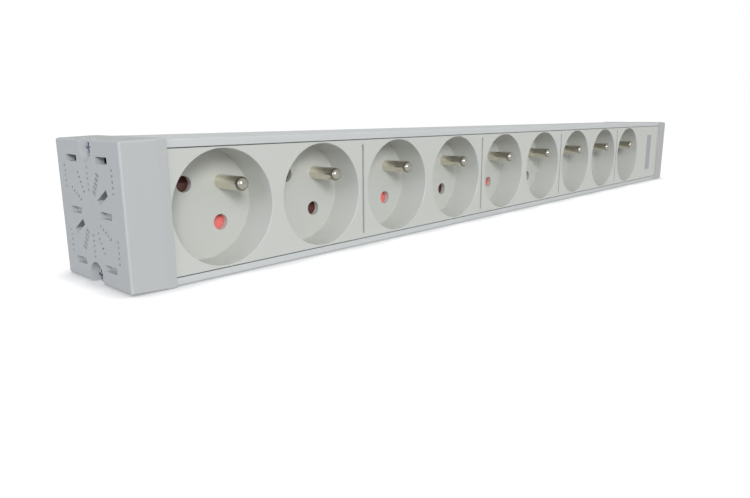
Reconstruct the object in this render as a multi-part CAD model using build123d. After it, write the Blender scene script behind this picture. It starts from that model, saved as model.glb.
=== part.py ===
from build123d import *
import math
import os

# One-unit-high rack power strip with nine round two-pole sockets, all lengths in millimetres.
# X runs along the strip, the sockets face -Y and Z is up; the origin is the bottom centre.

# Overall outline, set by the end caps
overall_height = 44.4
overall_depth = 44.4
cap_length = 14.0
front_proud = 0.7
side_proud = 0.3
end_margin = 12.0

# Socket row
socket_pitch = 42.1
socket_count = 9
sockets_per_module = 2
module_count = 5

# Housing extrusion
profile_wall = 1.5
lip_height = 2.45
lip_thickness = 1.6
profile_edge_radius = 0.5
port_inset = 2.9
port_radius = 2.5
port_slit = 1.4

# Socket module
face_gap = 0.35
flange_clearance = 0.2
face_plate = 2.4
skirt_wall = 1.2
recess_radius = 18.6
recess_depth = 13.3
recess_rim = 0.15
cup_wall = 0.9
floor_thickness = 2.0
contact_spacing = 19.0
contact_hole_radius = 2.7
socket_turn = 43.0
parting_groove_width = 1.0
parting_groove_depth = 1.2
parting_groove_length = 34.4
module_joint_gap = 0.1

# Earth pin
pin_radius = 2.4
pin_length = 14.0
pin_offset = 10.0
pin_flange_radius = 3.3
pin_flange_thickness = 0.8
pin_tail_radius = 1.8
rivet_radius = 2.8
rivet_height = 0.8
rivet_taper = 0.3
pin_collar_radius = 2.7

# Shutter, its guides and its spring
shutter_thickness = 2.2
shutter_travel = 6.4
shutter_margin = 0.4
shutter_web_half = 3.3
shutter_ramp = 1.5
slide_gap = 0.2
guide_gap = 0.3
guide_wall = 1.2
guide_relief = 0.1
spring_strip = 0.25
spring_width = 1.6
spring_half_span = 2.2
spring_folds = 5
spring_seat_gap = 0.15
pad_overlap = 0.5

# Contact carrier
carrier_wall = 1.2
carrier_end_gap = 4.6
carrier_side_gap = 0.3
port_groove_gap = 0.5
rib_thickness = 1.2
rib_offset = 14.0
rib_prong = 2.2
insulation_thickness = 0.5
insulation_gap = 0.1

# Contact rails
plug_pin_length = 19.0
plug_pin_radius = 2.4
rail_thickness = 0.8
pin_tip_gap = 1.6
rail_height = 7.0
clip_width = 6.0
clip_strip = 0.6
clip_mouth_gap = 0.8
clip_pinch = 0.3
clip_mouth_run = 2.4
earth_strap_setback = 5.8
earth_strap_thickness = 1.0
earth_strap_height = 3.6
earth_strap_gap = 0.6
earth_tab_width = 6.0
rail_slot_gap = 0.3
running_gap = 0.05

# Supply terminal block
terminal_length = 20.0
terminal_height = 29.0
terminal_start = 9.0
terminal_screw_radius = 1.5
terminal_head_radius = 2.6
terminal_head_height = 1.8
terminal_screw_length = 8.0
wire_hole_radius = 2.0
terminal_web = 1.0
driver_slot_width = 0.8
driver_slot_depth = 0.7

# End cap
cap_end_wall = 2.6
cap_side_wall = 2.2
cap_square_length = 3.0
cap_draft_angle = 2.3
cap_edge_radius = 0.7
cap_back_radius = 1.4
spigot_length = 4.0
spigot_wall = 1.3
spigot_gap = 0.2
notch_radius = 4.1
notch_depth = 3.2
notch_wall = 1.3

# Cap screws
cap_screw_radius = 1.5
cap_screw_head_radius = 2.6
cap_screw_head_height = 1.9
cap_screw_length = 20.0
cross_width = 0.8
cross_span = 3.2
cross_depth = 1.0

# Rosette in the end wall of a cap
slot_length = 7.2
slot_width = 2.0
spoke_start = 6.6
spoke_step = 30.0
frame_offset = 16.0
pocket_depth = 1.8
ladder_cells = 5
ladder_bar = 0.5
fine_ladder_width = 1.1
fine_ladder_bar = 1.0

# Cable entry bush
entry_bore_radius = 4.5
entry_neck_radius = 5.7
entry_flange_radius = 6.5
entry_flange_thickness = 1.6
entry_flange_round = 0.9

# Blank label
label_width = 8.6
label_height = 25.6
label_thickness = 0.2
label_recess = 0.15

# How far cutting shapes run past a face, and how far joined shapes reach into each other
past = 1.0
weld = 0.1

# Worked out from the sizes above
overall_length = module_count * sockets_per_module * socket_pitch + 2 * end_margin
left = -overall_length / 2
right = overall_length / 2
half_height = overall_height / 2
half_depth = overall_depth / 2
body_left = left + cap_length
body_right = right - cap_length
body_length = body_right - body_left
front = -half_depth + front_proud
back = half_depth - side_proud
profile_half = half_height - side_proud
inner_half = profile_half - profile_wall
inner_back = back - profile_wall
opening_half = profile_half - lip_height
port_centre = half_height - port_inset
port_bore_radius = cap_screw_radius + running_gap

face_half = opening_half - face_gap
flange_half = inner_half - flange_clearance
flange_front = front + lip_thickness + flange_clearance
floor_front = front + recess_depth
floor_back = floor_front + floor_thickness
cup_radius = recess_radius + cup_wall
shutter_front = floor_back + slide_gap
shutter_back = shutter_front + shutter_thickness
carrier_front = shutter_back + slide_gap
skirt_half = flange_half - skirt_wall

turn = math.radians(socket_turn)
pin_x = pin_offset * math.cos(turn)
pin_z = pin_offset * math.sin(turn)
hole_x = contact_spacing / 2 * math.sin(turn)
hole_z = contact_spacing / 2 * math.cos(turn)

pad_half = contact_hole_radius + shutter_margin
spoke_middle = spoke_start + slot_length / 2
shutter_top = hole_z + pad_half
spring_base = -skirt_half + spring_seat_gap

carrier_half = inner_half - carrier_side_gap
insulation_back = inner_back - insulation_gap
carrier_back = insulation_back - insulation_thickness - insulation_gap
rail_front = floor_front + plug_pin_length + pin_tip_gap
rail_back = rail_front + rail_thickness
rail_half = rail_height / 2
earth_strap_front = carrier_front + carrier_wall + earth_strap_setback
earth_strap_back = earth_strap_front + earth_strap_thickness
earth_strap_low = hole_z + plug_pin_radius + clip_mouth_gap + clip_strip + earth_strap_gap
earth_strap_high = earth_strap_low + earth_strap_height
earth_strap_middle = (earth_strap_low + earth_strap_high) / 2


def block(x0, x1, y0, y1, z0, z1):
    """A box between two corners."""
    middle = Pos((x0 + x1) / 2, (y0 + y1) / 2, (z0 + z1) / 2)
    return middle * Box(x1 - x0, y1 - y0, z1 - z0)


def rod_y(x, z, radius, y0, y1):
    """A round bar along Y."""
    return Pos(x, (y0 + y1) / 2, z) * Rot(90, 0, 0) * Cylinder(radius, y1 - y0)


def rod_x(y, z, radius, x0, x1):
    """A round bar along X."""
    return Pos((x0 + x1) / 2, y, z) * Rot(0, 90, 0) * Cylinder(radius, x1 - x0)


def socket_centre(index):
    """X of socket number index, counted from 0 at the blind end."""
    return left + end_margin + (index + 0.5) * socket_pitch


def module_span(index):
    """First and last X of a module; the two end ones stop at the caps."""
    length = sockets_per_module * socket_pitch
    start = left + end_margin + index * length
    x0 = max(start + module_joint_gap / 2, body_left)
    x1 = min(start + length - module_joint_gap / 2, body_right)
    return x0, x1


def module_sockets(index):
    """Numbers of the sockets that a module carries."""
    first = index * sockets_per_module
    return range(first, min(first + sockets_per_module, socket_count))


def save(shape, name):
    """Lift a piece from the centre line to its height above the base and write it."""
    export_step(Pos(0, 0, half_height) * shape, f"parts/{name}.step")


# Housing extrusion

def housing_profile():
    """C section, open to the front between two lips, with a screw port under each wide wall."""
    depth = back - front
    outline = Pos((front + back) / 2, 0) * RectangleRounded(depth, 2 * profile_half, profile_edge_radius)
    hollow_front = front + lip_thickness
    hollow = Pos((hollow_front + inner_back) / 2, 0) * Rectangle(inner_back - hollow_front, 2 * inner_half)
    mouth = Pos(front, 0) * Rectangle(2 * (lip_thickness + past), 2 * opening_half)
    section = outline - hollow - mouth
    for side in (1, -1):
        centre = Pos(0, side * port_centre)
        section += (centre * Circle(port_radius)) & outline
        section -= centre * Circle(port_bore_radius)
        inward = Align.MAX if side > 0 else Align.MIN
        section -= centre * Rectangle(port_slit, port_radius + past, align=(Align.CENTER, inward))
    return Pos(body_left, 0, 0) * extrude(Plane.YZ * section, body_length)


# Socket modules

def socket_module(index):
    """Moulded shell: flanged face plate, deep round cups, skirt and the joint rebates."""
    x0, x1 = module_span(index)
    numbers = module_sockets(index)
    shell = block(x0, x1, front, flange_front + weld, -face_half, face_half)
    shell += block(x0, x1, flange_front, carrier_front, -flange_half, flange_half)
    shell -= block(x0 + skirt_wall, x1 - skirt_wall, front + face_plate, carrier_front + past,
                   -skirt_half, skirt_half)
    limits = block(x0, x1, front, carrier_front, -flange_half, flange_half)
    for number in numbers:
        x = socket_centre(number)
        shell += rod_y(x, 0, cup_radius, flange_front, floor_back) & limits
    for number in numbers:
        x = socket_centre(number)
        shell -= rod_y(x, 0, recess_radius, front - past, floor_front)
        shell -= rod_y(x + pin_x, pin_z, pin_collar_radius + running_gap, floor_front - past, floor_back + past)
        for side in (1, -1):
            shell -= rod_y(x + side * hole_x, -side * hole_z, contact_hole_radius,
                           floor_front - past, floor_back + past)
    rims = [
        edge for edge in shell.edges().filter_by(GeomType.CIRCLE)
        if abs(edge.radius - recess_radius) < weld and abs(edge.center().Y - front) < weld
    ]
    shell = chamfer(rims, recess_rim)
    half_groove = parting_groove_width / 2
    rebate_back = front + parting_groove_depth
    rebate_half = parting_groove_length / 2
    if index > 0:
        shell -= block(x0 - past, x0 + half_groove, front - past, rebate_back, -rebate_half, rebate_half)
    if index < module_count - 1:
        shell -= block(x1 - half_groove, x1 + past, front - past, rebate_back, -rebate_half, rebate_half)
    if index == module_count - 1:
        x = label_centre()
        shell -= block(x - label_width / 2, x + label_width / 2, front - past, front + label_recess,
                       -label_height / 2, label_height / 2)
    return shell


def label_centre():
    """X of the label, in the middle of the blank half beside the last socket."""
    return socket_centre(socket_count)


def blank_label():
    """Thin plain label in its shallow recess."""
    x = label_centre()
    y0 = front + label_recess - label_thickness
    slack = running_gap
    return block(x - label_width / 2 + slack, x + label_width / 2 - slack, y0, front + label_recess,
                 -label_height / 2 + slack, label_height / 2 - slack)


# Earth pins

def earth_pin(index):
    """Turned pin: ball tip, shank, collar in the floor, flange behind it, tail and riveted head."""
    tip = floor_front - pin_length
    shoulder = floor_back
    flange_back = shoulder + pin_flange_thickness
    tail_end = earth_strap_back
    rivet_end = tail_end + rivet_height
    mid = pin_radius * math.sin(math.pi / 4)
    with BuildSketch(Plane.XY) as section:
        with BuildLine():
            Line((0, tip), (0, rivet_end))
            Line((0, rivet_end), (rivet_radius - rivet_taper, rivet_end))
            Line((rivet_radius - rivet_taper, rivet_end), (rivet_radius, tail_end))
            Line((rivet_radius, tail_end), (pin_tail_radius, tail_end))
            Line((pin_tail_radius, tail_end), (pin_tail_radius, flange_back))
            Line((pin_tail_radius, flange_back), (pin_flange_radius, flange_back))
            Line((pin_flange_radius, flange_back), (pin_flange_radius, shoulder))
            Line((pin_flange_radius, shoulder), (pin_collar_radius, shoulder))
            Line((pin_collar_radius, shoulder), (pin_collar_radius, floor_front))
            Line((pin_collar_radius, floor_front), (pin_radius, floor_front))
            Line((pin_radius, floor_front), (pin_radius, tip + pin_radius))
            ThreePointArc((pin_radius, tip + pin_radius), (mid, tip + pin_radius - mid), (0, tip))
        make_face()
    pin = revolve(section.sketch, Axis.Y)
    return Pos(socket_centre(index) + pin_x, 0, pin_z) * pin


# Shutters and springs

def shutter(index):
    """Red slide: a middle web with a ramped pad over each contact hole."""
    slide = block(-shutter_web_half, shutter_web_half, shutter_front, shutter_back, -shutter_top, shutter_top)
    for side in (1, -1):
        x0, x1 = sorted((side * (shutter_web_half - pad_overlap), side * (hole_x + pad_half)))
        z0, z1 = -side * hole_z - pad_half, -side * hole_z + pad_half
        slide += block(x0, x1, shutter_front, shutter_back, z0, z1)
        ramp_top = -side * hole_z + pad_half
        with BuildSketch(Plane.YZ) as ramp:
            Polygon((shutter_front, ramp_top), (shutter_front, ramp_top - 2 * shutter_ramp),
                    (shutter_front + shutter_ramp, ramp_top), align=None)
        slide -= Pos(side * hole_x - plug_pin_radius, 0, 0) * extrude(ramp.sketch, 2 * plug_pin_radius)
    return Pos(socket_centre(index), 0, 0) * slide


def shutter_spring(index):
    """Folded leaf spring between the skirt and the foot of the shutter."""
    top = -shutter_top - spring_seat_gap
    low = spring_base + spring_strip / 2
    high = top - spring_strip / 2
    step = (high - low) / spring_folds
    points = [(spring_half_span * (-1) ** n, low + n * step) for n in range(spring_folds + 1)]
    points.insert(0, (-spring_half_span, low))
    points.append((-points[-1][0], high))
    with BuildSketch(Plane.XZ) as fold:
        with BuildLine():
            Polyline(*points)
        trace(line_width=spring_strip)
    y_mid = (shutter_front + shutter_back) / 2
    leaf = extrude(fold.sketch, spring_width / 2, both=True)
    return Pos(socket_centre(index), y_mid, 0) * leaf


# Contact carriers

def shutter_guides(x):
    """Ribs on the carrier's front that guide a shutter, with a stop above it."""
    y0 = floor_back + guide_relief
    y1 = carrier_front + weld
    inner = shutter_web_half + guide_gap
    outer = inner + guide_wall
    stop = shutter_top + guide_gap
    foot = -skirt_half + guide_gap
    left_top = hole_z - pad_half - shutter_travel - guide_gap
    right_foot = -hole_z + pad_half + guide_gap
    right_top = pin_z - pin_flange_radius - guide_gap
    ribs = block(x - outer, x - inner, y0, y1, foot, left_top)
    ribs += block(x + inner, x + outer, y0, y1, right_foot, right_top)
    ribs += block(x - outer, x + inner, y0, y1, stop, stop + guide_wall)
    return ribs


def contact_carrier(index):
    """Open-backed moulding that keeps the shutters in and carries the three rails on its ribs."""
    x0, x1 = module_span(index)
    x0 += carrier_end_gap
    x1 -= carrier_end_gap
    tray = block(x0, x1, carrier_front, carrier_back, -carrier_half, carrier_half)
    groove = port_radius + port_groove_gap
    shelf = port_centre - port_radius - port_groove_gap
    tray_inner = carrier_half - carrier_wall
    tray -= block(x0 + carrier_wall, x1 - carrier_wall, carrier_front + carrier_wall, carrier_back + past,
                  -tray_inner, tray_inner)
    for side in (1, -1):
        z0, z1 = sorted((side * (shelf - carrier_wall), side * carrier_half))
        tray += block(x0, x1, max(-groove - carrier_wall, carrier_front), groove + carrier_wall, z0, z1)
        z0, z1 = sorted((side * shelf, side * (carrier_half + past)))
        tray -= block(x0 - past, x1 + past, -groove, groove, z0, z1)
    numbers = module_sockets(index)
    for number in numbers:
        x = socket_centre(number)
        for offset in (-rib_offset, rib_offset):
            rib_x = x + offset
            tray += block(rib_x - rib_thickness / 2, rib_x + rib_thickness / 2, carrier_front + weld,
                          rail_back + rib_prong, -shelf, shelf)
        tray += shutter_guides(x)
        hole_end = carrier_front + carrier_wall + past
        tray -= rod_y(x + pin_x, pin_z, pin_flange_radius + guide_gap, carrier_front - past, hole_end)
        for side in (1, -1):
            tray -= rod_y(x + side * hole_x, -side * hole_z, contact_hole_radius + guide_gap,
                          carrier_front - past, hole_end)
    for side in (1, -1):
        low = side * hole_z - rail_half - rail_slot_gap
        high = side * hole_z + rail_half + rail_slot_gap
        tray -= block(x0 - past, x1 + past, rail_front, carrier_back + past, low, high)
    tray -= block(x0 - past, x1 + past, earth_strap_front, carrier_back + past,
                  earth_strap_low - rail_slot_gap, earth_strap_high + rail_slot_gap)
    return tray


# Rails

def rail_end():
    """X at which the rails stop, on the terminal block."""
    return terminal_middle() + terminal_head_radius + past


def terminal_x():
    """First X of the terminal block, in the blank half of the last module."""
    return socket_centre(socket_count) - socket_pitch / 2 + terminal_start


def terminal_middle():
    """X of the terminal screws."""
    return terminal_x() + terminal_length / 2


def contact_clip(x, z):
    """Two leaves that grip a plug pin from above and below, flared at the mouth."""
    mouth = carrier_front + carrier_wall + slide_gap
    throat = mouth + clip_mouth_run
    outer = plug_pin_radius + clip_mouth_gap
    pinch = plug_pin_radius - clip_pinch
    clip = Part()
    for side in (1, -1):
        with BuildSketch(Plane.YZ) as leaf:
            with BuildLine():
                Polyline((mouth, side * outer), (throat, side * (pinch + clip_strip / 2)),
                         (rail_front + weld, side * outer))
            trace(line_width=clip_strip)
        clip += Pos(x - clip_width / 2, 0, z) * extrude(leaf.sketch, clip_width)
    return clip


def power_rail(side):
    """Stamped strip with a contact clip behind every hole of one pole."""
    start = socket_centre(0) - rib_offset - rib_thickness
    rail = block(start, rail_end(), rail_front, rail_back, side * hole_z - rail_half, side * hole_z + rail_half)
    for number in range(socket_count):
        rail += contact_clip(socket_centre(number) - side * hole_x, side * hole_z)
    return rail - rod_y(terminal_middle(), side * hole_z, terminal_screw_radius + running_gap,
                        rail_front - past, rail_back + past)


def earth_rail():
    """Strap above the neutral clips, with a tab down to the tail of every earth pin."""
    start = socket_centre(0) - rib_offset - rib_thickness
    rail = block(start, rail_end(), earth_strap_front, earth_strap_back, earth_strap_low, earth_strap_high)
    for number in range(socket_count):
        x = socket_centre(number) + pin_x
        rail += block(x - earth_tab_width / 2, x + earth_tab_width / 2, earth_strap_front, earth_strap_back,
                      pin_z - earth_tab_width / 2, earth_strap_low + weld)
        rail -= rod_y(x, pin_z, pin_tail_radius + running_gap,
                      earth_strap_front - past, earth_strap_back + past)
    return rail - rod_y(terminal_middle(), earth_strap_middle, terminal_screw_radius + running_gap,
                        earth_strap_front - past, earth_strap_back + past)


def insulation_strip():
    """Thin sheet between the rails and the back wall of the housing."""
    return block(body_left + spigot_length + spigot_gap, body_right - spigot_length - spigot_gap,
                 insulation_back - insulation_thickness, insulation_back, -carrier_half, carrier_half)


# Supply terminals

def terminal_poles():
    """Height and seat of each of the three terminals."""
    return [(-hole_z, rail_front), (hole_z, rail_front), (earth_strap_middle, earth_strap_front)]


def terminal_block():
    """Moulded block with a seat for each rail, a wire hole and a screw hole for each pole."""
    x0 = terminal_x()
    x1 = x0 + terminal_length
    y0 = carrier_front + carrier_wall
    top = earth_strap_high + running_gap
    step = earth_strap_middle - terminal_head_radius - rail_slot_gap
    body = block(x0, x1, y0, rail_front, top - terminal_height, top)
    body -= block(x0 - past, x1 + past, earth_strap_front, rail_front + past, step, top + past)
    for z, seat in terminal_poles():
        body -= rod_y(terminal_middle(), z, terminal_screw_radius + running_gap,
                      seat + terminal_head_height - terminal_screw_length - past, seat + past)
        wire_start = terminal_middle() + terminal_screw_radius + terminal_web
        body -= rod_x((y0 + seat) / 2, z, wire_hole_radius, wire_start, x1 + past)
    return body


def slotted_screw(radius, head_radius, head_height, length):
    """Cheese-head screw along Y, head underside at y = 0 and shank towards -Y, with a driver slot."""
    screw = rod_y(0, 0, radius, -length, weld)
    screw += rod_y(0, 0, head_radius, 0, head_height)
    half = driver_slot_width / 2
    reach = head_radius + past
    return screw - block(-half, half, head_height - driver_slot_depth, head_height + past, -reach, reach)


def terminal_screws():
    """The three screws that clamp the rails and the supply wires."""
    screws = Part()
    for z, seat in terminal_poles():
        thickness = rail_thickness if seat == rail_front else earth_strap_thickness
        screw = slotted_screw(terminal_screw_radius, terminal_head_radius, terminal_head_height,
                              terminal_screw_length - terminal_head_height)
        screws += Pos(terminal_middle(), seat + thickness, z) * screw
    return screws


# End caps

def ladder(width, bar):
    """A slot cut up into cells by bars that stay in the wall."""
    pitch = (slot_length + bar) / ladder_cells
    cell = Rectangle(pitch - bar, width)
    return Sketch() + [Pos((n - (ladder_cells - 1) / 2) * pitch, 0) * cell for n in range(ladder_cells)]


def spokes(shape, angles):
    """Copies of a slot round the middle of the wall, at angles from the level that points to the back."""
    return Sketch() + [Rot(0, 0, angle) * Pos(spoke_middle, 0) * shape for angle in angles]


def level_bars(shape, side):
    """A pair of copies of a slot on one level side of a square frame, 1 for the upper and -1 for the lower."""
    return Sketch() + [Pos(way * spoke_middle, side * frame_offset) * shape for way in (1, -1)]


def upright_bars(shape):
    """Four copies of a slot, a pair on each upright side of the frame."""
    pair = [Pos(0, way * spoke_middle) * Rot(0, 0, 90) * shape for way in (1, -1)]
    return Sketch() + [Pos(side * frame_offset, 0) * bar for side in (1, -1) for bar in pair]


def rosette_pockets():
    """The blind slots: two level spokes and the lower pair of level bars."""
    bar = Rectangle(slot_length, slot_width)
    return spokes(bar, (0, 180)) + level_bars(bar, -1)


def rosette_cuts():
    """The slots that go through: open spokes and bars, two coarse ladders and the rest as fine ladders."""
    rising = [side - spoke_step for side in (180, 360)]
    steep = [side - 2 * spoke_step for side in (180, 360)]
    falling = [side + turns * spoke_step for side in (0, 180) for turns in (1, 2, 3)]
    fine = ladder(fine_ladder_width, fine_ladder_bar)
    coarse = ladder(slot_width, ladder_bar)
    bar = Rectangle(slot_length, slot_width)
    cuts = spokes(bar, rising) + level_bars(bar, 1) + spokes(coarse, steep)
    return cuts + spokes(fine, falling) + upright_bars(fine)


def rounded_cap():
    """The cap's outside: drafted sides with rounded edges, then a square collar that meets the housing."""
    collar_start = cap_length - cap_square_length
    foot = Plane(origin=(collar_start, 0, 0), x_dir=(0, 1, 0), z_dir=(-1, 0, 0))
    shell = extrude(foot * Rectangle(2 * half_depth, 2 * half_height), collar_start, taper=cap_draft_angle)
    back_upright = shell.faces().sort_by(Axis.X)[0].edges().sort_by(Axis.Y)[-1]
    shell = fillet(back_upright, cap_back_radius)
    front_face = shell.faces().sort_by(Axis.Y)[0]
    lids = shell.faces().sort_by(Axis.Z)
    edges = front_face.edges() + lids[0].edges() + lids[-1].edges()
    shell = fillet(edges.filter_by(lambda edge: edge.bounding_box().min.X < collar_start - weld), cap_edge_radius)
    collar = Plane.YZ * RectangleRounded(2 * half_depth, 2 * half_height, profile_edge_radius)
    return shell + Pos(collar_start, 0, 0) * extrude(collar, cap_square_length)


def cap_spigot():
    """Three-sided rim that slips inside the end of the housing behind the screw ports."""
    y0 = port_radius + port_groove_gap + spigot_gap
    y1 = inner_back - spigot_gap
    z = inner_half - spigot_gap
    x0 = cap_length - cap_side_wall
    x1 = cap_length + spigot_length
    rim = block(x0, x1, y0, y1, -z, z)
    return rim - block(x0 - past, x1 + past, y0 - past, y1 - spigot_wall, -z + spigot_wall, z - spigot_wall)


def end_cap():
    """Hollow moulding in its own frame: outer face at x = 0, opening towards +X."""
    outside = rounded_cap()
    inside_half = half_height - cap_side_wall
    inside_y = half_depth - cap_side_wall
    body = outside - block(cap_end_wall, cap_length + past, -inside_y, inside_y, -inside_half, inside_half)
    pocket_floor = notch_depth + notch_wall
    pocket = notch_radius + notch_wall
    for side in (1, -1):
        z = side * port_centre
        z0, z1 = sorted((z, side * half_height))
        seat = rod_x(0, z, pocket, cap_end_wall - weld, pocket_floor)
        seat += block(cap_end_wall - weld, pocket_floor, -pocket, pocket, z0, z1)
        body += seat & outside
        body += rod_x(0, z, port_radius, pocket_floor - weld, cap_length) & outside
    for side in (1, -1):
        z = side * port_centre
        z0, z1 = sorted((z, side * (half_height + past)))
        body -= rod_x(0, z, notch_radius, -past, notch_depth)
        body -= block(-past, notch_depth, -notch_radius, notch_radius, z0, z1)
        body -= rod_x(0, z, cap_screw_radius + running_gap, 0, cap_length + past)
    body += cap_spigot()
    body -= Pos(-past, 0, 0) * extrude(Plane.YZ * rosette_cuts(), cap_end_wall + 2 * past)
    return body - Pos(-past, 0, 0) * extrude(Plane.YZ * rosette_pockets(), pocket_depth + past)


def place_blind(shape):
    """Set a cap-frame shape at the blind end."""
    return Pos(left, 0, 0) * shape


def place_supply(shape):
    """Turn a cap-frame shape about Y and set it at the supply end."""
    return Pos(right, 0, 0) * Rot(0, 180, 0) * shape


def cap_screw(side):
    """Pan-head screw with a cross recess, in the cap's frame, head on the floor of its notch."""
    z = side * port_centre
    head_front = notch_depth - cap_screw_head_height
    screw = rod_x(0, z, cap_screw_radius, notch_depth - weld, notch_depth + cap_screw_length)
    head = rod_x(0, z, cap_screw_head_radius, head_front, notch_depth)
    rim = head.edges().filter_by(lambda edge: edge.center().X < head_front + weld)
    screw += fillet(rim, cap_screw_head_height / 2)
    half = cross_width / 2
    span = cross_span / 2
    screw -= block(head_front - past, head_front + cross_depth, -half, half, z - span, z + span)
    return screw - block(head_front - past, head_front + cross_depth, -span, span, z - half, z + half)


def cap_screws():
    """The two screws of one cap."""
    return cap_screw(1) + cap_screw(-1)


def cable_entry_bush():
    """Grommet in the cap's frame: a neck in the end wall between two round flanges."""
    start = -entry_flange_thickness
    end = cap_end_wall + entry_flange_thickness
    neck = rod_x(0, 0, entry_neck_radius - running_gap, -weld, cap_end_wall + weld)
    outer = rod_x(0, 0, entry_flange_radius, start, 0)
    inner = rod_x(0, 0, entry_flange_radius, cap_end_wall, end)
    outer = fillet(outer.edges().filter_by(lambda edge: edge.center().X < start + weld), entry_flange_round)
    return neck + outer + inner - rod_x(0, 0, entry_bore_radius, start - past, end + past)


# Write every piece

os.makedirs("parts", exist_ok=True)

save(housing_profile(), "housing_profile")
cap = end_cap()
save(place_blind(cap), "end_cap_blind")
save(place_supply(cap - rod_x(0, 0, entry_neck_radius, -past, cap_end_wall + past)), "end_cap_supply")
save(place_blind(cap_screws()), "cap_screws_blind")
save(place_supply(cap_screws()), "cap_screws_supply")
save(place_supply(cable_entry_bush()), "cable_entry_bush")

for m in range(module_count):
    save(socket_module(m), f"socket_module_{m + 1}")
    save(contact_carrier(m), f"contact_carrier_{m + 1}")

for s in range(socket_count):
    save(earth_pin(s), f"earth_pin_{s + 1}")
    save(shutter(s), f"shutter_{s + 1}")
    save(shutter_spring(s), f"shutter_spring_{s + 1}")

save(power_rail(-1), "live_rail")
save(power_rail(1), "neutral_rail")
save(earth_rail(), "earth_rail")
save(insulation_strip(), "insulation_strip")
save(terminal_block(), "terminal_block")
save(terminal_screws(), "terminal_screws")
save(blank_label(), "blank_label")
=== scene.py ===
"""Rack power strip with nine round sockets: its finishes, turned pins, studio and camera.

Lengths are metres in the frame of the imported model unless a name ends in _mm: X runs along the
strip, the sockets face -Y, Z is up and the origin is the bottom centre.
"""

import logging
import math
from dataclasses import dataclass
from enum import Enum

import bpy
import numpy as np
from mathutils import Matrix, Vector


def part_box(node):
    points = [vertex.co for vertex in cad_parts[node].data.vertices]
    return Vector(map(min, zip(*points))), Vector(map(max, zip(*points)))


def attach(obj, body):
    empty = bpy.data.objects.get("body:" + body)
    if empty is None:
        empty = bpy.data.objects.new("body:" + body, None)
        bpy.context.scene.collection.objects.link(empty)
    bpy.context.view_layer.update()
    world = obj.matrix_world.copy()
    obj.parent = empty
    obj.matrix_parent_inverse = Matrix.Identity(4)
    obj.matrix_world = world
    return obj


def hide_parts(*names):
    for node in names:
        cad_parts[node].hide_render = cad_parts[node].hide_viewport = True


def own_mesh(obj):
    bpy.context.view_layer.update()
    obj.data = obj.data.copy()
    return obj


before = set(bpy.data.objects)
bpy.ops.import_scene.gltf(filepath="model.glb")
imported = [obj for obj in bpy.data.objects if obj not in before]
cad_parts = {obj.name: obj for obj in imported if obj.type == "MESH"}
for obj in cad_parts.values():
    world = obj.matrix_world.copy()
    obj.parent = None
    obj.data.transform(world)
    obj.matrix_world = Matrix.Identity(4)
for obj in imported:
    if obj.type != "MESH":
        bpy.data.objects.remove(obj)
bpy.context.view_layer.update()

MM = 0.001
SOCKETS = 9
MODULES = 5
HOUSING = "housing"
# Numbers of the Mix node's colour sockets, whose names repeat for each data type.
MIX_A, MIX_B, MIX_COLOUR = 6, 7, 2
# Between these heights lie nearly all values of a noise pattern.
NOISE_LOW, NOISE_HIGH = 0.3, 0.7
NOISE_DETAIL = 2.0
log = logging.getLogger("power_strip")


# Helpers for colours, nodes and meshes

def linear(code: str) -> tuple[float, float, float, float]:
    """Turn an sRGB hex colour into the linear colour that a shader takes.

    Args:
        code: The colour as #RRGGBB.

    Returns:
        Linear red, green and blue, with an alpha of 1.
    """
    channels = (int(code[i:i + 2], 16) / 255 for i in (1, 3, 5))
    red, green, blue = (c / 12.92 if c <= 0.04045 else ((c + 0.055) / 1.055) ** 2.4 for c in channels)
    return red, green, blue, 1.0


def add_node(
    tree: bpy.types.NodeTree,
    kind: str,
    values: dict | None = None,
    links: dict | None = None,
    **settings: object,
) -> bpy.types.Node:
    """Add a node with its settings, its sockets' own values and the links that reach it.

    Args:
        tree: The tree that gets the node.
        kind: The node's Blender type.
        values: Socket name or number to the value set on it.
        links: Socket name or number to the output that feeds it.
        settings: The node's own properties.

    Returns:
        The new node.
    """
    node = tree.nodes.new(kind)
    for key, value in settings.items():
        setattr(node, key, value)
    for key, value in (values or {}).items():
        node.inputs[key].default_value = value
    for key, output in (links or {}).items():
        tree.links.new(output, node.inputs[key])
    return node


def new_piece(name: str, points: np.ndarray, faces: list, smooth_angle: float = 35.0) -> bpy.types.Object:
    """Make a mesh object at the origin, with its place in its mesh.

    Args:
        name: The object's name.
        points: One row of x, y and z for each vertex.
        faces: Corner numbers of each face.
        smooth_angle: Edges that turn more than this many degrees stay sharp.

    Returns:
        The linked object.
    """
    mesh = bpy.data.meshes.new(name)
    mesh.from_pydata(points.tolist(), [], faces)
    mesh.validate()
    mesh.shade_smooth()
    mesh.set_sharp_from_angle(angle=math.radians(smooth_angle))
    piece = bpy.data.objects.new(name, mesh)
    bpy.context.scene.collection.objects.link(piece)
    return piece


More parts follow.
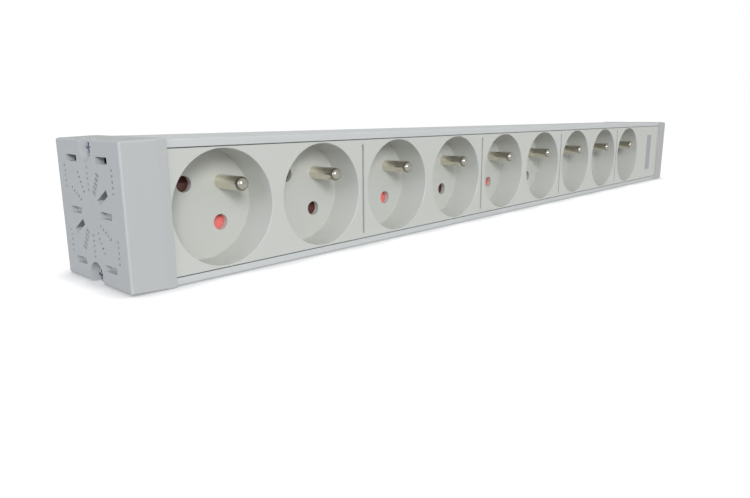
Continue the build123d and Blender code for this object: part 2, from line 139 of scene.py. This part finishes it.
def revolve(name: str, profile: np.ndarray, axis_x: float, axis_z: float, steps: int) -> bpy.types.Object:
    """Turn a profile about a line along Y.

    A point at radius r and depth y goes to x = axis_x + r cos a, z = axis_z + r sin a, for steps
    equal angles a. The first and last profile points lie on the axis and become the two poles.

    Args:
        name: The new object's name.
        profile: Rows of radius and y, from the front pole to the back pole.
        axis_x: X of the axis.
        axis_z: Z of the axis.
        steps: How many times the profile is repeated round the axis.

    Returns:
        The closed piece.
    """
    turn = np.arange(steps) * 2 * np.pi / steps
    radius, depth = profile[1:-1, :1], profile[1:-1, 1:]
    across = axis_x + radius * np.cos(turn)
    up = axis_z + radius * np.sin(turn)
    rings = np.stack([across, np.broadcast_to(depth, across.shape), up], axis=-1).reshape(-1, 3)
    poles = np.array([[axis_x, profile[0, 1], axis_z], [axis_x, profile[-1, 1], axis_z]])
    here = np.arange(steps)
    there = (here + 1) % steps
    start = np.arange(len(depth) - 1)[:, None] * steps
    sides = np.stack([start + here, start + there, start + steps + there, start + steps + here], axis=-1)
    last = (len(depth) - 1) * steps
    front_pole, back_pole = len(rings), len(rings) + 1
    nose = np.stack([np.full(steps, front_pole), there, here], axis=-1)
    tail = np.stack([np.full(steps, back_pole), last + here, last + there], axis=-1)
    faces = sides.reshape(-1, 4).tolist() + nose.tolist() + tail.tolist()
    return new_piece(name, np.concatenate([rings, poles]), faces)


def ring(
    name: str,
    inner: float,
    outer: float,
    front: float,
    back: float,
    axis_x: float,
    axis_z: float,
    steps: int,
) -> bpy.types.Object:
    """Make a flat ring about a line along Y.

    Each of its four corners goes round the axis as in revolve: x = axis_x + r cos a and
    z = axis_z + r sin a for steps equal angles a, with r the inner or outer radius.

    Args:
        name: The new object's name.
        inner: Inner radius.
        outer: Outer radius.
        front: Y of the front face.
        back: Y of the back face.
        axis_x: X of the axis.
        axis_z: Z of the axis.
        steps: Points round the ring.

    Returns:
        The closed piece.
    """
    turn = np.arange(steps) * 2 * np.pi / steps
    corners = [(inner, front), (outer, front), (outer, back), (inner, back)]
    points = np.concatenate([
        np.stack([axis_x + radius * np.cos(turn), np.full(steps, y), axis_z + radius * np.sin(turn)], axis=-1)
        for radius, y in corners
    ])
    here = np.arange(steps)
    there = (here + 1) % steps
    start = np.arange(len(corners))[:, None] * steps
    after = np.roll(start, -1, axis=0)
    faces = np.stack([start + here, start + there, after + there, after + here], axis=-1)
    return new_piece(name, points, faces.reshape(-1, 4).tolist())


def strip_along(
    name: str, line: np.ndarray, thickness: float, y_low: float, y_high: float
) -> bpy.types.Object:
    """Make a flat strip that follows a line in a plane of X and Z.

    Each point of the line moves half the thickness to either side, along the line turned a quarter
    turn, where the line's direction at a point is the difference of its two neighbours.

    Args:
        name: The new object's name.
        line: Rows of x and z.
        thickness: The strip's thickness.
        y_low: Y of its front edge.
        y_high: Y of its back edge.

    Returns:
        The closed piece.
    """
    along = np.gradient(line, axis=0)
    along /= np.linalg.norm(along, axis=1, keepdims=True)
    aside = np.stack([-along[:, 1], along[:, 0]], axis=-1) * thickness / 2
    over, under = line + aside, line - aside
    corners = [(over, y_low), (under, y_low), (under, y_high), (over, y_high)]
    points = np.stack([np.insert(flat, 1, y, axis=1) for flat, y in corners], axis=1).reshape(-1, 3)
    start = np.arange(len(line) - 1)[:, None] * 4
    here = np.arange(4)
    there = (here + 1) % 4
    sides = np.stack([start + here, start + 4 + here, start + 4 + there, start + there], axis=-1)
    last = (len(line) - 1) * 4
    ends = [[0, 1, 2, 3], [last + 3, last + 2, last + 1, last]]
    return new_piece(name, points, sides.reshape(-1, 4).tolist() + ends)


def arc(centre: tuple[float, float], radius: float, start: float, end: float, steps: int) -> np.ndarray:
    """Points on a circle in a profile: radius and y, by equal angles in degrees.

    Args:
        centre: Radius and y of the circle's centre.
        radius: The circle's radius.
        start: First angle, from the profile's outward direction towards +Y.
        end: Last angle.
        steps: How many points.

    Returns:
        Rows of radius and y.
    """
    angle = np.radians(np.linspace(start, end, steps))
    return np.stack([centre[0] + radius * np.cos(angle), centre[1] + radius * np.sin(angle)], axis=-1)


# Finishes

class Lay(Enum):
    """Which way a surface's fine marks run; the value is their size along X, Y and Z in millimetres.

    The real marks are 0.03 to 0.1 mm across. They are drawn a few times coarser, so that they show.
    """

    ERODED = (0.45, 0.45, 0.45)
    SATIN = (0.9, 0.9, 0.9)
    EXTRUDED = (90.0, 0.35, 0.35)
    TURNED = (60.0, 0.22, 60.0)
    ROLLED = (40.0, 0.4, 0.4)


@dataclass(frozen=True)
class Finish:
    """A real material with the marks that its making left.

    Attributes:
        name: The material's name, for what it is and how it was made.
        colour: Its colour as sRGB hex.
        patch: The colour that it drifts towards in slow patches.
        lay: Direction and size of the fine marks.
        relief_mm: Height of those marks.
        roughness: Mean roughness.
        spread: How far the marks move the roughness.
        metallic: 0 for a plastic or paint, 1 for bare metal.
        ior: Index of refraction of a non-metal.
        patch_mm: Size of the slow patches.
    """

    name: str
    colour: str
    patch: str
    lay: Lay
    relief_mm: float
    roughness: float
    spread: float = 0.05
    metallic: float = 0.0
    ior: float = 1.5
    patch_mm: float = 30.0

    def material(self) -> bpy.types.Material:
        """Build the material's nodes on Object coordinates.

        Returns:
            The new material.
        """
        made = bpy.data.materials.new(self.name)
        made.use_nodes = True
        tree = made.node_tree
        tree.nodes.clear()
        place = add_node(tree, "ShaderNodeTexCoord").outputs["Object"]
        marks = self.marks(tree, place)
        low, high = self.roughness - self.spread, self.roughness + self.spread
        rough = add_node(
            tree, "ShaderNodeMapRange",
            {"From Min": NOISE_LOW, "From Max": NOISE_HIGH, "To Min": low, "To Max": high}, {"Value": marks},
        )
        height = {"Strength": 1.0, "Distance": self.relief_mm * MM}
        bump = add_node(tree, "ShaderNodeBump", height, {"Height": marks})
        shader = add_node(
            tree, "ShaderNodeBsdfPrincipled", {"Metallic": self.metallic, "IOR": self.ior},
            {"Base Color": self.tint(tree, place), "Roughness": rough.outputs[0], "Normal": bump.outputs[0]},
        )
        add_node(tree, "ShaderNodeOutputMaterial", links={"Surface": shader.outputs[0]})
        return made

    def tint(self, tree: bpy.types.NodeTree, place: bpy.types.NodeSocket) -> bpy.types.NodeSocket:
        """Slow drift between the two colours: noise of the size patch_mm.

        Args:
            tree: The material's tree.
            place: The Object coordinates.

        Returns:
            The colour output.
        """
        per_metre = 1 / (self.patch_mm * MM)
        pattern = {"Scale": per_metre, "Detail": NOISE_DETAIL}
        drift = add_node(tree, "ShaderNodeTexNoise", pattern, {"Vector": place})
        colours = {MIX_A: linear(self.colour), MIX_B: linear(self.patch)}
        mix = add_node(tree, "ShaderNodeMix", colours, {0: drift.outputs[0]}, data_type="RGBA")
        return mix.outputs[MIX_COLOUR]

    def marks(self, tree: bpy.types.NodeTree, place: bpy.types.NodeSocket) -> bpy.types.NodeSocket:
        """Fine marks: noise whose cells have the lay's size along each axis.

        Args:
            tree: The material's tree.
            place: The Object coordinates.

        Returns:
            The marks' height from 0 to 1.
        """
        per_metre = [1 / (size * MM) for size in self.lay.value]
        stretched = add_node(tree, "ShaderNodeMapping", {"Scale": per_metre}, {"Vector": place})
        pattern = {"Scale": 1.0, "Detail": NOISE_DETAIL, "Roughness": 0.55}
        noise = add_node(tree, "ShaderNodeTexNoise", pattern, {"Vector": stretched.outputs[0]})
        return noise.outputs[0]


@dataclass(frozen=True)
class PaintedShadeAboveFinish(Finish):
    """One colour, with a painted shade of it above a given height.

    Attributes:
        painted_shade_colour: The painted shade's colour above the split, as sRGB hex.
        split_mm: Height of the split.
    """

    painted_shade_colour: str = "#808080"
    split_mm: float = 0.0

    def tint(self, tree: bpy.types.NodeTree, place: bpy.types.NodeSocket) -> bpy.types.NodeSocket:
        """The material's colour, with the painted shade's colour above the split.

        Args:
            tree: The material's tree.
            place: The Object coordinates.

        Returns:
            The colour output.
        """
        # Painted shade: the half of the shutter at the upper contact hole is darker.
        height = add_node(tree, "ShaderNodeSeparateXYZ", links={0: place}).outputs["Z"]
        split = {1: self.split_mm * MM}
        above = add_node(tree, "ShaderNodeMath", split, {0: height}, operation="GREATER_THAN")
        mix = add_node(
            tree, "ShaderNodeMix", {MIX_B: linear(self.painted_shade_colour)},
            {0: above.outputs[0], MIX_A: super().tint(tree, place)}, data_type="RGBA",
        )
        return mix.outputs[MIX_COLOUR]


@dataclass(frozen=True)
class PaintedTipReflectionFinish(Finish):
    """A plated finish whose front end is worn by what slides over it.

    Attributes:
        tip_reflection: The colour of the painted dark reflection at the front end, as sRGB hex.
        tip_reflection_from_mm: Y in front of which the painted dark reflection covers the finish.
        tip_reflection_to_mm: Y behind which it is not painted.
    """

    tip_reflection: str = "#808080"
    tip_reflection_from_mm: float = 0.0
    tip_reflection_to_mm: float = 1.0

    def tint(self, tree: bpy.types.NodeTree, place: bpy.types.NodeSocket) -> bpy.types.NodeSocket:
        """The plating's colour, which runs smoothly into the painted dark reflection's colour along -Y.

        Args:
            tree: The material's tree.
            place: The Object coordinates.

        Returns:
            The colour output.
        """
        # Painted dark reflection: the colour darkens towards the tip, along -Y.
        depth = add_node(tree, "ShaderNodeSeparateXYZ", links={0: place}).outputs["Y"]
        ends = {"From Min": self.tip_reflection_from_mm * MM, "From Max": self.tip_reflection_to_mm * MM}
        unpainted_share = add_node(
            tree, "ShaderNodeMapRange", ends, {"Value": depth}, interpolation_type="SMOOTHSTEP"
        )
        mix = add_node(
            tree, "ShaderNodeMix", {MIX_A: linear(self.tip_reflection)},
            {0: unpainted_share.outputs[0], MIX_B: super().tint(tree, place)}, data_type="RGBA",
        )
        return mix.outputs[MIX_COLOUR]


# Clear-anodised 6063 aluminium, extruded: pale satin metal with faint draw lines along its length.
ANODISED_ALUMINIUM = Finish(
    "anodised_aluminium_extruded", "#CCCFCE", "#C8CBCB", Lay.EXTRUDED, 0.0012, 0.55, 0.06, metallic=0.3
)
# Light grey ABS with a spark-eroded mould texture: matt, with a fine even grain.
ABS_CAP = Finish(
    "abs_grey_eroded_mould", "#BBBDBB", "#B7B9B8", Lay.ERODED, 0.006, 0.55, 0.08, patch_mm=45.0
)
# Light grey polycarbonate from a satin mould: smoother and slightly warmer than the caps.
POLYCARBONATE = Finish(
    "polycarbonate_grey_satin_mould", "#CACBC5", "#C6C8C2", Lay.SATIN, 0.003, 0.42, 0.06,
    ior=1.58, patch_mm=40.0,
)
# Natural polyamide of the inner mouldings: duller and yellower.
POLYAMIDE = Finish(
    "polyamide_natural_moulded", "#D2CFC2", "#CAC7BA", Lay.ERODED, 0.006, 0.6, 0.08, ior=1.53
)
# Red acetal in painted shade, for every second shutter: a dark maroon with a low slippery sheen.
ACETAL_IN_PAINTED_SHADE = Finish(
    "acetal_red_in_painted_shade", "#5A2C29", "#522624", Lay.SATIN, 0.003, 0.38, 0.05, ior=1.48
)
# Red acetal with painted shade: red at the lower contact hole, a painted maroon shade at the upper one.
ACETAL_WITH_PAINTED_SHADE_ABOVE = PaintedShadeAboveFinish(
    "acetal_red_painted_shade_above", "#F4827D", "#EC7772", Lay.SATIN, 0.003, 0.38, 0.05, ior=1.48,
    painted_shade_colour=ACETAL_IN_PAINTED_SHADE.colour, split_mm=22.2,
)
# Nickel-plated brass, turned: warm bright metal with fine rings round the pin, and a darker tip
# that is a painted dark reflection.
NICKEL_BRASS = PaintedTipReflectionFinish(
    "nickel_plated_brass_turned", "#E2DDCE", "#DAD4C3", Lay.TURNED, 0.0006, 0.19, 0.04,
    metallic=1.0, patch_mm=8.0, tip_reflection="#98958C", tip_reflection_from_mm=-20.6, tip_reflection_to_mm=-19.4,
)
# Zinc-plated steel, cold-headed: cool bluish metal.
ZINC_STEEL = Finish(
    "zinc_plated_steel_headed", "#B9BDC2", "#A9AFB8", Lay.SATIN, 0.002, 0.32, 0.08,
    metallic=1.0, patch_mm=4.0,
)
# Carbon spring steel strip, rolled and tempered: darker, slightly straw-coloured.
SPRING_STEEL = Finish(
    "spring_steel_rolled", "#8C8980", "#7E7A70", Lay.ROLLED, 0.001, 0.35, 0.07,
    metallic=1.0, patch_mm=6.0,
)
# Half-hard brass strip, rolled and stamped: yellow metal with lines along the strip.
BRASS_STRIP = Finish(
    "brass_rolled_stamped", "#C9A75E", "#BD9A52", Lay.ROLLED, 0.0012, 0.3, 0.07,
    metallic=1.0, patch_mm=18.0,
)
# Polyester insulating film: milky and smooth.
POLYESTER_FILM = Finish(
    "polyester_film_milky", "#E3E1D6", "#DAD8CC", Lay.SATIN, 0.001, 0.3, 0.04, ior=1.6
)
# Synthetic rubber of the cable bush: dark and dull.
RUBBER = Finish(
    "rubber_moulded_dark", "#2C2E30", "#27292B", Lay.ERODED, 0.01, 0.7, 0.08, ior=1.52, patch_mm=6.0
)
# Silver-grey polyester label, bare: a flat cool grey.
LABEL_FILM = Finish(
    "polyester_label_grey", "#989DA0", "#92989C", Lay.SATIN, 0.001, 0.36, 0.03, ior=1.6, patch_mm=12.0
)


class Wardrobe:
    """Builds each finish once and puts it on pieces."""

    def __init__(self) -> None:
        """Start with no material built."""
        self.built: dict[str, bpy.types.Material] = {}

    def get(self, finish: Finish) -> bpy.types.Material:
        """Give the finish's material, built the first time.

        Args:
            finish: What is wanted.

        Returns:
            The one material of that finish.
        """
        if finish.name not in self.built:
            self.built[finish.name] = finish.material()
        return self.built[finish.name]

    def dress(self, piece: bpy.types.Object, finish: Finish) -> None:
        """Put a finish in every material slot of a piece.

        Args:
            piece: The object that is dressed.
            finish: What it is made of.
        """
        if not piece.material_slots:
            piece.data.materials.append(None)
        for place in piece.material_slots:
            place.material = self.get(finish)

    def dress_nodes(self, finish: Finish, *names: str) -> None:
        """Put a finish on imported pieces.

        Args:
            finish: What they are made of.
            names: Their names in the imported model.
        """
        for name in names:
            self.dress(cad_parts[name], finish)
            log.info("%s in %s", name, finish.name)


# Sub-assemblies

@dataclass
class Housing:
    """The extrusion, its two end caps, their screws and the cable bush.

    Attributes:
        wardrobe: Where the finishes come from.
    """

    wardrobe: Wardrobe

    def build(self) -> None:
        """Dress the outer pieces."""
        self.wardrobe.dress_nodes(ANODISED_ALUMINIUM, "housing_profile")
        self.wardrobe.dress_nodes(ABS_CAP, "end_cap_blind", "end_cap_supply")
        self.wardrobe.dress_nodes(ZINC_STEEL, "cap_screws_blind", "cap_screws_supply")
        self.wardrobe.dress_nodes(RUBBER, "cable_entry_bush")


@dataclass
class EarthPin:
    """A turned earth pin on one node's axis.

    Attributes:
        number: Socket number, from 1 at the blind end.
        radius: Shank radius.
        reach: Length of the shank, from the tip to the socket floor.
        collar_radius: Radius of the collar that fills the hole in the floor.
        collar_sink: How far the collar's face lies under the floor.
        seat_gap: Gap between the collar's side and the module, which the seat covers.
        collar_length: Thickness of that floor.
        flange_radius: Radius of the flange behind the socket floor.
        flange_thickness: Thickness of that flange.
        tail_radius: Radius of the tail.
        rivet_radius: Radius of the riveted head.
        rivet_height: Height of the riveted head.
        edge: Small break on every turned corner.
        steps: Points round the pin.
    """

    number: int
    radius: float = 2.4 * MM
    reach: float = 14.0 * MM
    collar_radius: float = 2.7 * MM
    collar_sink: float = 1.0 * MM
    seat_gap: float = 0.04 * MM
    collar_length: float = 2.0 * MM
    flange_radius: float = 3.3 * MM
    flange_thickness: float = 0.8 * MM
    tail_radius: float = 1.8 * MM
    rivet_radius: float = 2.8 * MM
    rivet_height: float = 0.8 * MM
    edge: float = 0.12 * MM
    steps: int = 64

    def profile(self, tip: float, end: float) -> np.ndarray:
        """Half section: a quarter circle for the tip, straight turned steps and a domed rivet head.

        Args:
            tip: Y of the tip.
            end: Y of the rivet head's end.

        Returns:
            Rows of radius and y from tip to end.
        """
        floor = tip + self.reach
        collar = floor + self.collar_sink
        shoulder = floor + self.collar_length
        flange_back = shoulder + self.flange_thickness
        seat = end - self.rivet_height
        r, e = self.radius, self.edge
        return np.concatenate([
            arc((0.0, tip + r), r, -90.0, 0.0, 20),
            [(r, collar)],
            arc((self.collar_radius - e, collar + e), e, -90.0, 0.0, 4),
            [(self.collar_radius, shoulder)],
            arc((self.flange_radius - e, shoulder + e), e, -90.0, 0.0, 4),
            arc((self.flange_radius - e, flange_back - e), e, 0.0, 90.0, 4),
            [(self.tail_radius, flange_back), (self.tail_radius, seat), (self.rivet_radius, seat)],
            arc((self.rivet_radius - self.rivet_height, seat), self.rivet_height, 0.0, 90.0, 8),
            [(0.0, end)],
        ])

    def build(self, wardrobe: Wardrobe) -> None:
        """Make the smooth pin in the place of its node, and the moulded skin that closes over its collar.

        Args:
            wardrobe: Where the finishes come from.
        """
        node = f"earth_pin_{self.number}"
        low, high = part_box(node)
        middle = (low + high) / 2
        pin = revolve(f"turned_{node}", self.profile(low.y, high.y), middle.x, middle.z, self.steps)
        wardrobe.dress(pin, NICKEL_BRASS)
        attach(pin, HOUSING)
        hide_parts(node)
        floor = low.y + self.reach
        outer = self.collar_radius + self.seat_gap
        back = floor + self.collar_sink
        seat = ring(
            f"pin_seat_{self.number}", self.radius, outer, floor, back, middle.x, middle.z, self.steps
        )
        wardrobe.dress(seat, POLYCARBONATE)
        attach(seat, HOUSING)
        log.info("%s: %d faces", pin.name, len(pin.data.polygons))


@dataclass
class ReturnSpring:
    """A leaf spring folded to and fro under one shutter, which folds up as the shutter comes down.

    Attributes:
        number: Socket number, from 1 at the blind end.
        strip: Thickness of the strip.
        layers: Flat runs, from the one on the skirt to the one under the shutter.
        side_play: How far the bends stay inside the node's width.
        folded_share: Height left when the shutter is fully down, as a part of the height at rest. Not used.
        bend_steps: Points round each bend.
    """

    number: int
    strip: float = 0.25 * MM
    layers: int = 6
    side_play: float = 0.02 * MM
    folded_share: float = 0.265
    bend_steps: int = 14

    def line(self, low: Vector, high: Vector) -> np.ndarray:
        """Middle line of the strip: level runs, joined by half circles at alternate ends.

        Run n lies at the lowest run's height plus n steps. The bend after it is a half circle whose
        diameter is one step, to the right of an even run and to the left of an odd one.

        Args:
            low: The node's lowest corner.
            high: The node's highest corner.

        Returns:
            Rows of x and z from the bottom run to the top one.
        """
        bottom = low.z + self.strip / 2
        step = (high.z - low.z - self.strip) / (self.layers - 1)
        half_run = (high.x - low.x) / 2 - step / 2 - self.strip / 2 - self.side_play
        middle = (low.x + high.x) / 2
        angle = np.radians(np.linspace(-90.0, 90.0, self.bend_steps))
        rows = [np.array([[middle - half_run, bottom]])]
        for n in range(self.layers - 1):
            side = 1 if n % 2 == 0 else -1
            across = middle + side * (half_run + step / 2 * np.cos(angle))
            rows.append(np.stack([across, bottom + (n + 0.5) * step + step / 2 * np.sin(angle)], axis=-1))
        end_side = 1 if self.layers % 2 else -1
        rows.append(np.array([[middle + end_side * half_run, bottom + (self.layers - 1) * step]]))
        return np.concatenate(rows)

    def build(self, wardrobe: Wardrobe) -> None:
        """Make the spring in the place of its node.

        Args:
            wardrobe: Where the finish comes from.
        """
        node = f"shutter_spring_{self.number}"
        low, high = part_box(node)
        name = f"folded_spring_{self.number}"
        spring = strip_along(name, self.line(low, high), self.strip, low.y, high.y)
        wardrobe.dress(spring, SPRING_STEEL)
        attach(spring, HOUSING)
        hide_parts(node)
        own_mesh(spring)


@dataclass
class SocketRow:
    """The socket modules with their pins, shutters and springs, and the blank label.

    Attributes:
        wardrobe: Where the finishes come from.
    """

    wardrobe: Wardrobe

    def build(self) -> None:
        """Dress the row's pieces and make its pins."""
        modules = [f"socket_module_{k + 1}" for k in range(MODULES)]
        self.wardrobe.dress_nodes(POLYCARBONATE, *modules)
        self.wardrobe.dress_nodes(LABEL_FILM, "blank_label")
        for number in range(1, SOCKETS + 1):
            # Every second shutter gets the red acetal in painted shade.
            self.wardrobe.dress_nodes(ACETAL_WITH_PAINTED_SHADE_ABOVE if number % 2 else ACETAL_IN_PAINTED_SHADE, f"shutter_{number}")
            ReturnSpring(number).build(self.wardrobe)
            EarthPin(number).build(self.wardrobe)


@dataclass
class ContactRow:
    """What lies behind the modules: carriers, rails, insulation and the supply terminals.

    Attributes:
        wardrobe: Where the finishes come from.
    """

    wardrobe: Wardrobe

    def build(self) -> None:
        """Dress the inner pieces."""
        carriers = [f"contact_carrier_{k + 1}" for k in range(MODULES)]
        self.wardrobe.dress_nodes(POLYAMIDE, *carriers, "terminal_block")
        self.wardrobe.dress_nodes(BRASS_STRIP, "live_rail", "neutral_rail", "earth_rail")
        self.wardrobe.dress_nodes(POLYESTER_FILM, "insulation_strip")
        self.wardrobe.dress_nodes(ZINC_STEEL, "terminal_screws")


@dataclass
class Lamp:
    """A square soft light that looks at a point.

    Attributes:
        name: The lamp's name.
        place: Where it hangs.
        target: The point that it looks at.
        side: Length of its sides.
        power: Its power in watts.
        colour: Its colour as sRGB hex.
    """

    name: str
    place: tuple[float, float, float]
    target: tuple[float, float, float]
    side: float
    power: float
    colour: str

    def build(self) -> None:
        """Hang the lamp and turn it to its target."""
        data = bpy.data.lights.new(self.name, "AREA")
        data.shape = "SQUARE"
        data.size = self.side
        data.energy = self.power
        data.color = linear(self.colour)[:3]
        lamp = bpy.data.objects.new(self.name, data)
        lamp.location = self.place
        direction = Vector(self.target) - Vector(self.place)
        lamp.rotation_euler = direction.to_track_quat("-Z", "Y").to_euler()
        bpy.context.scene.collection.objects.link(lamp)


# The point that the lamps look at, on the near half of the strip.
LAMP_AIM = (-0.06, 0.0, 0.02)


@dataclass
class Studio:
    """Floor, light from all round, a softbox and the camera.

    Attributes:
        camera_place: The lens, in front of and above the blind end.
        camera_aim: A point that the middle of the picture shows.
        camera_roll: Turn of the camera about its axis, in degrees.
        focal_mm: Focal length.
        sensor_mm: Width of the sensor.
        floor_half: Half the floor's side.
        floor_colour: The floor's own colour as sRGB hex.
        floor_lift: Strength of the white glow that such rays see on the floor.
        shade_reach: How far the soft shade runs from the foot of the strip.
        shade_low: What part of that glow is left at the foot itself.
        shade_open: Share of open air above which the shade starts to fade.
        sky_side: Where most of the soft light comes from.
        sky_low: Strength of the light opposite to that side.
        sky_high: Strength of the light from that side.
        sky_dark: Cosine of the angle to that side at which the light is weakest.
        sky_bright: Cosine of the angle to that side from which the light is strongest.
        lamps: The softbox in front of the blind end and the weaker light beside it.
    """

    camera_place: tuple[float, float, float] = (-0.29932, -0.18549, 0.0505)
    camera_aim: tuple[float, float, float] = (-0.11971, -0.0215, -0.00269)
    camera_roll: float = -0.237
    focal_mm: float = 29.374
    sensor_mm: float = 36.0
    floor_half: float = 6.0
    floor_colour: str = "#B8B8B8"
    floor_lift: float = 0.8
    shade_reach: float = 0.01
    shade_low: float = 0.42
    shade_open: float = 0.5
    sky_side: tuple[float, float, float] = (0.0, -0.95, 0.22)
    sky_low: float = 0.06
    sky_high: float = 0.82
    sky_dark: float = -0.6
    sky_bright: float = 0.9
    lamps: tuple[Lamp, ...] = (
        Lamp("key_softbox", (-0.78, -1.0, 0.5), LAMP_AIM, 0.34, 8.4, "#F6F8FA"),
        Lamp("side_fill", (-1.1, -0.2, 0.3), LAMP_AIM, 0.6, 2.4, "#DEE7FF"),
    )

    def build(self) -> None:
        """Set up the view, the floor and the light."""
        self.camera()
        self.floor()
        self.world()
        for lamp in self.lamps:
            lamp.build()

    def camera(self) -> None:
        """Place the camera at the photograph's viewing angle."""
        data = bpy.data.cameras.new("camera")
        data.sensor_width = self.sensor_mm
        data.lens = self.focal_mm
        data.clip_start = 0.01
        data.clip_end = 100.0
        camera = bpy.data.objects.new("camera", data)
        forward = Vector(self.camera_aim) - Vector(self.camera_place)
        level = forward.to_track_quat("-Z", "Y").to_matrix().to_4x4()
        roll = Matrix.Rotation(math.radians(self.camera_roll), 4, "Z")
        camera.matrix_world = Matrix.Translation(self.camera_place) @ level @ roll
        bpy.context.scene.collection.objects.link(camera)
        bpy.context.scene.camera = camera

    def backdrop_rays(self, tree: bpy.types.NodeTree) -> bpy.types.NodeSocket:
        """Tell the rays that see the backdrop: the camera's, and those reflected or let through by a surface.

        Args:
            tree: The tree that gets the nodes.

        Returns:
            1 for such a ray and 0 for the rest.
        """
        rays = add_node(tree, "ShaderNodeLightPath").outputs
        glossy, through, direct = (rays[f"Is {kind} Ray"] for kind in ("Glossy", "Transmission", "Camera"))
        mirrored = add_node(tree, "ShaderNodeMath", links={0: glossy, 1: through}, operation="MAXIMUM")
        either = {0: direct, 1: mirrored.outputs[0]}
        return add_node(tree, "ShaderNodeMath", links=either, operation="MAXIMUM").outputs[0]

    def floor(self) -> None:
        """Pale floor: matt paper that looks white, with the shadow and a soft shade at the foot."""
        half = self.floor_half
        points = np.array([(-half, -half, 0), (half, -half, 0), (half, half, 0), (-half, half, 0)], float)
        floor = new_piece("floor", points, [(0, 1, 2, 3)])
        paper = bpy.data.materials.new("paper_white_matt")
        paper.use_nodes = True
        tree = paper.node_tree
        tree.nodes.clear()
        reach = {"Distance": self.shade_reach}
        open_air = add_node(tree, "ShaderNodeAmbientOcclusion", reach, samples=16).outputs["AO"]
        fade = {"From Min": self.shade_open, "To Min": self.shade_low}
        shade = add_node(tree, "ShaderNodeMapRange", fade, {"Value": open_air}).outputs[0]
        strongest = {1: self.floor_lift}
        lift = add_node(tree, "ShaderNodeMath", strongest, {0: shade}, operation="MULTIPLY").outputs[0]
        rays = self.backdrop_rays(tree)
        strength = add_node(tree, "ShaderNodeMath", links={0: lift, 1: rays}, operation="MULTIPLY").outputs[0]
        matt = add_node(tree, "ShaderNodeBsdfDiffuse", {"Color": linear(self.floor_colour)})
        glow = add_node(tree, "ShaderNodeEmission", {"Color": linear("#FFFFFF")}, {"Strength": strength})
        both = add_node(tree, "ShaderNodeAddShader", links={0: matt.outputs[0], 1: glow.outputs[0]})
        add_node(tree, "ShaderNodeOutputMaterial", links={"Surface": both.outputs[0]})
        floor.data.materials.append(paper)

    def world(self) -> None:
        """Soft light that is strong in front and weak behind and above, and looks white when seen."""
        world = bpy.data.worlds.new("studio")
        world.use_nodes = True
        tree = world.node_tree
        tree.nodes.clear()
        ray = add_node(tree, "ShaderNodeTexCoord").outputs["Generated"]
        side = tuple(Vector(self.sky_side).normalized())
        facing = add_node(tree, "ShaderNodeVectorMath", {1: side}, {0: ray}, operation="DOT_PRODUCT")
        ends = {
            "From Min": self.sky_dark, "From Max": self.sky_bright,
            "To Min": self.sky_low, "To Max": self.sky_high,
        }
        soft = add_node(tree, "ShaderNodeMapRange", ends, {"Value": facing.outputs["Value"]}).outputs[0]
        rays = self.backdrop_rays(tree)
        strength = add_node(tree, "ShaderNodeMath", links={0: soft, 1: rays}, operation="MAXIMUM").outputs[0]
        light = add_node(tree, "ShaderNodeBackground", {"Color": linear("#FFFFFF")}, {"Strength": strength})
        add_node(tree, "ShaderNodeOutputWorld", links={"Surface": light.outputs[0]})
        bpy.context.scene.world = world


def main() -> None:
    """Dress the power strip, then light and frame it."""
    logging.basicConfig(level=logging.INFO, format="%(name)s: %(message)s")
    wardrobe = Wardrobe()
    for assembly in (Housing(wardrobe), SocketRow(wardrobe), ContactRow(wardrobe)):
        assembly.build()
        log.info("%s done", type(assembly).__name__)
    Studio().build()
    bpy.context.scene.view_settings.view_transform = "Standard"


if __name__ == "__main__":
    main()
